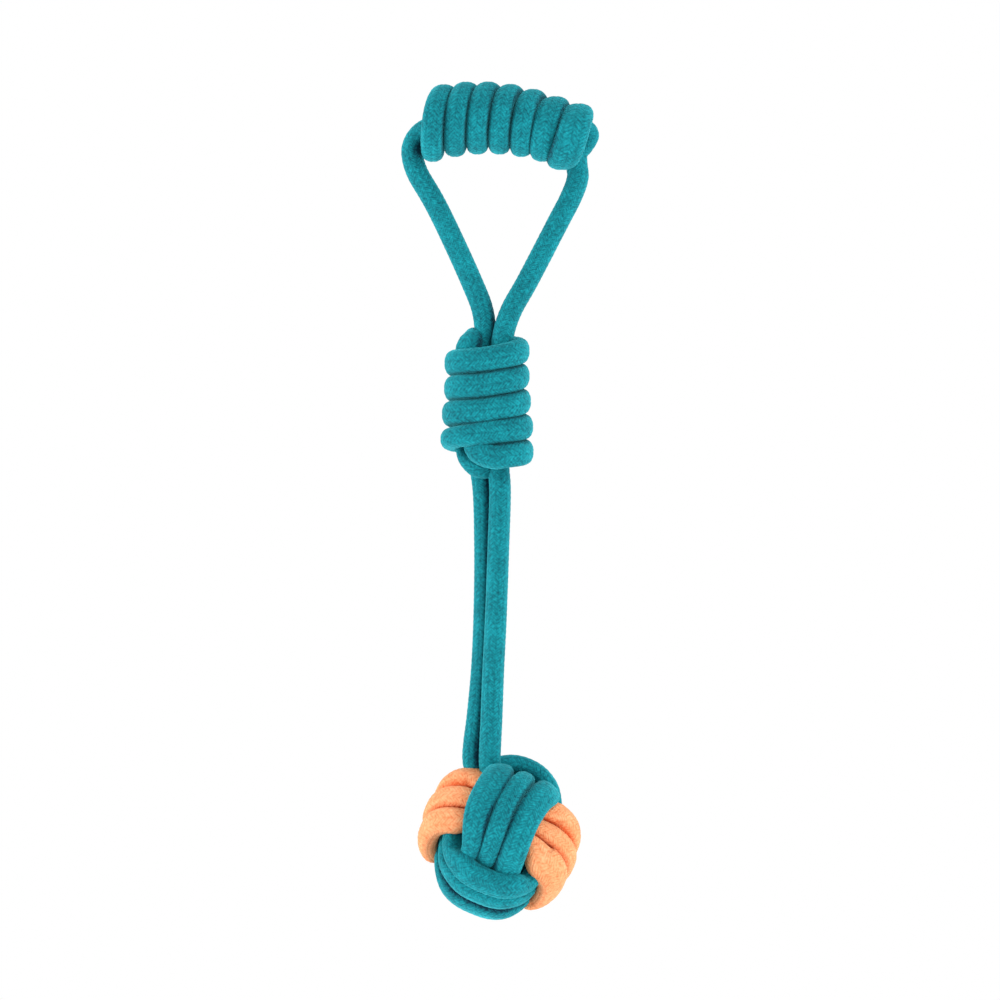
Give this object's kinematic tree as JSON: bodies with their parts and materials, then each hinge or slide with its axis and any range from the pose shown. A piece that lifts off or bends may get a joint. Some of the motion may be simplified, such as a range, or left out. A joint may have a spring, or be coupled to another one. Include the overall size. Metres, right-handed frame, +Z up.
{
  "type": "rope dog toy",
  "caption": "Braided cotton rope dog toy with a wound grip on a triangular rope handle, a coiled knot, paired rope shanks and a ball knot of crossing bands.",
  "frame": {"origin": "on the floor, under the middle of the toy's outline", "axes": "+Y from the ball to the handle, +Z up, +X to the right as seen from above"},
  "size_m": [0.096, 0.3806, 0.0724],
  "materials": {
    "teal_cotton": "matte, braided cotton",
    "orange_cotton": "matte, braided cotton"
  },
  "bodies": {
    "knot": {"knot_winding": "teal_cotton", "knot_core_left": "teal_cotton", "knot_core_right": "teal_cotton"},
    "handle": {"grip_winding": "teal_cotton", "grip_core": "teal_cotton", "leg_left": "teal_cotton", "leg_right": "teal_cotton", "handle_flex_left": "teal_cotton", "handle_flex_right": "teal_cotton"},
    "upper_shanks": {"shank_flex_left": "teal_cotton", "shank_flex_right": "teal_cotton", "upper_shank_left": "teal_cotton", "upper_shank_right": "teal_cotton"},
    "lower_shanks": {"shank_bend_left": "teal_cotton", "shank_bend_right": "teal_cotton", "lower_shank_left": "teal_cotton", "lower_shank_right": "teal_cotton"},
    "ball": {"ball_front_band": "teal_cotton", "ball_cross_band": "teal_cotton", "ball_side_band": "orange_cotton", "ball_core": "teal_cotton", "neck_left": "teal_cotton", "neck_right": "teal_cotton"}
  },
  "joints": [
    {"name": "handle_fold", "type": "hinge", "parent": "knot", "child": "handle", "pos_m": [-0.0016, 0.086, 0.0169], "axis": [1, 0, 0], "range_deg": [-75, 75], "deforming": ["handle_flex_left", "handle_flex_right"]},
    {"name": "shank_fold", "type": "hinge", "parent": "knot", "child": "upper_shanks", "pos_m": [-0.00385, 0, 0.0175], "axis": [1, 0, 0], "range_deg": [-75, 75], "deforming": ["shank_flex_left", "shank_flex_right"]},
    {"name": "shank_sway", "type": "hinge", "parent": "upper_shanks", "child": "lower_shanks", "pos_m": [-0.0046, -0.05, 0.0297], "axis": [0, 0, 1], "range_deg": [-35, 35], "deforming": ["shank_bend_left", "shank_bend_right"]},
    {"name": "ball_swing", "type": "hinge", "parent": "lower_shanks", "child": "ball", "pos_m": [-0.00745, -0.10195, 0.04326], "axis": [1, 0, 0], "range_deg": [-60, 60], "deforming": ["neck_left", "neck_right"]}
  ]
}
